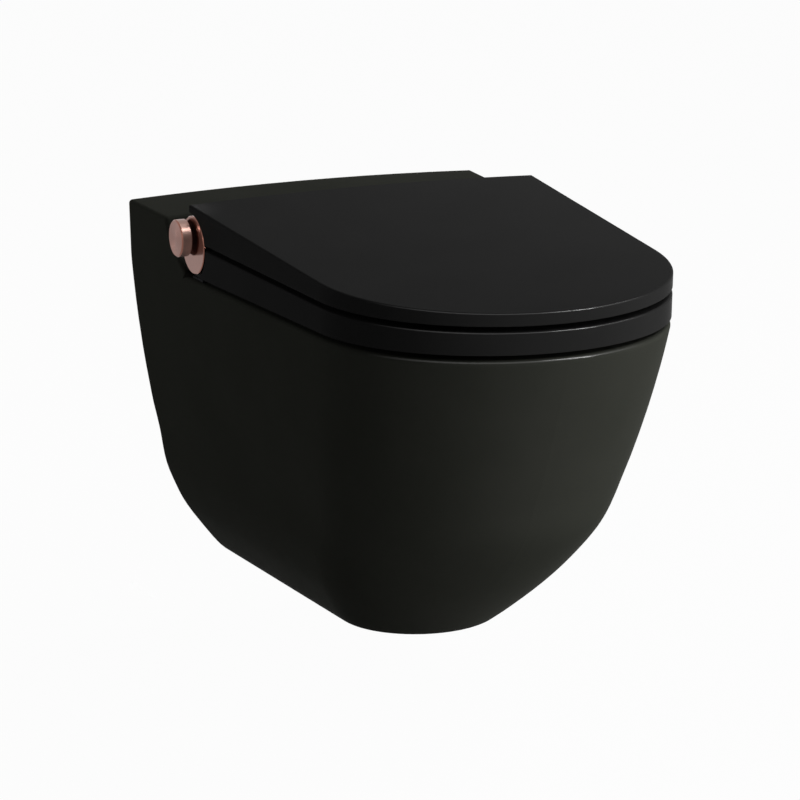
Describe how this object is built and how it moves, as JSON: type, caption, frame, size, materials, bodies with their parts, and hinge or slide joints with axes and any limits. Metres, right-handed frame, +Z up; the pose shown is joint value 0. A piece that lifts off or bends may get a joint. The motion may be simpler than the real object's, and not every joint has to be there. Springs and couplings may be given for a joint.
{
  "type": "wall-hung bidet toilet",
  "caption": "Wall-hung toilet with a rinsing wand: a ceramic bowl under a raised rear deck, a lift-up seat and lid on a hinge, and a side knob that is pressed and turned.",
  "frame": {"origin": "On the wall plane, midway between the two fixing studs.", "axes": "+Z up, -Y out from the wall to the bowl's front, +X to the right of someone who faces the wall."},
  "size_m": [0.401, 0.6, 0.4158],
  "materials": {
    "matt_ceramic": "matt black glaze on vitreous china",
    "matt_black_plastic": "matt black moulded plastic, fine grain",
    "housing_plastic": "dark grey moulded plastic",
    "brushed_rose_metal": "brushed rose-coloured metal",
    "polished_rose_metal": "polished rose-coloured metal",
    "steel": "bright stainless steel",
    "rubber": "soft black rubber",
    "damper_plastic": "grey plastic",
    "module_plastic": "dark grey moulded plastic",
    "wand_plastic": "white gloss plastic",
    "gear_plastic": "natural acetal",
    "brass": "turned brass",
    "hose": "dark rubber hose",
    "supply_case": "black plastic case",
    "board": "green laminate with black parts",
    "sleeve_plastic": "white plastic"
  },
  "bodies": {
    "pan": {"ceramic_pan": "matt_ceramic", "ceramic_deck": "matt_ceramic", "ceramic_bowl": "matt_ceramic", "ceramic_trap": "matt_ceramic", "ceramic_duct": "matt_ceramic", "hinge_housing_left": "housing_plastic", "hinge_housing_right": "housing_plastic", "lid_damper": "damper_plastic", "seat_damper": "damper_plastic", "hinge_disc_left": "polished_rose_metal", "hinge_disc_right": "polished_rose_metal", "encoder": "housing_plastic", "module_base": "module_plastic", "module_cover": "module_plastic", "module_screws": "steel", "hinge_screws": "steel", "module_bolts": "steel", "module_nuts": "steel", "wand_motor": "damper_plastic", "wand_guide": "gear_plastic", "feed_tube": "steel", "feed_block": "gear_plastic", "inlet_filter": "brass", "solenoid_valve": "damper_plastic", "valve_hose": "hose", "water_pump": "damper_plastic", "pump_hose": "hose", "water_heater": "steel", "heater_hose": "hose", "water_inlet": "brass", "power_supply": "supply_case", "power_inlet": "housing_plastic", "control_board": "board", "wall_sleeves": "sleeve_plastic", "wall_clamps": "steel", "clamp_screws": "steel"},
    "seat": {"seat": "matt_black_plastic", "seat_buffers": "rubber", "seat_hinge_shaft": "steel"},
    "lid": {"lid": "matt_black_plastic", "lid_lining": "matt_black_plastic", "lid_buffers": "rubber", "lid_hinge_shaft": "steel"},
    "knob_slider": {"press_collar": "damper_plastic"},
    "knob": {"knob": "brushed_rose_metal", "knob_stem": "steel"},
    "wand": {"wand": "wand_plastic", "nozzle_tip": "wand_plastic", "wand_rack": "gear_plastic"},
    "pinion": {"drive_pinion": "gear_plastic", "motor_shaft": "steel"}
  },
  "joints": [
    {"name": "seat_hinge", "type": "hinge", "parent": "pan", "child": "seat", "pos_m": [0, -0.154, 0.111], "axis": [-1, 0, 0], "range_deg": [0, 92]},
    {"name": "lid_hinge", "type": "hinge", "parent": "seat", "child": "lid", "pos_m": [0, -0.154, 0.111], "axis": [1, 0, 0], "range_deg": [-100, 0]},
    {"name": "knob_push", "type": "slide", "parent": "pan", "child": "knob_slider", "axis": [1, 0, 0], "range_m": [0, 0.002], "stiffness_N_per_m": 1500},
    {"name": "knob_turn", "type": "hinge", "parent": "knob_slider", "child": "knob", "pos_m": [-0.1969, -0.143, 0.117], "axis": [-1, 0, 0], "continuous": true},
    {"name": "wand_slide", "type": "slide", "parent": "pan", "child": "wand", "axis": [0, -0.9826, -0.1857], "range_m": [0, 0.1]},
    {"name": "pinion_turn", "type": "hinge", "parent": "pan", "child": "pinion", "pos_m": [0, -0.16029, 0.08208], "axis": [-1, 0, 0], "range_deg": [-5, 960]}
  ],
  "couplings": [
    {"joint": "pinion_turn", "follows": "wand_slide", "rad_per_m": 166.67}
  ]
}
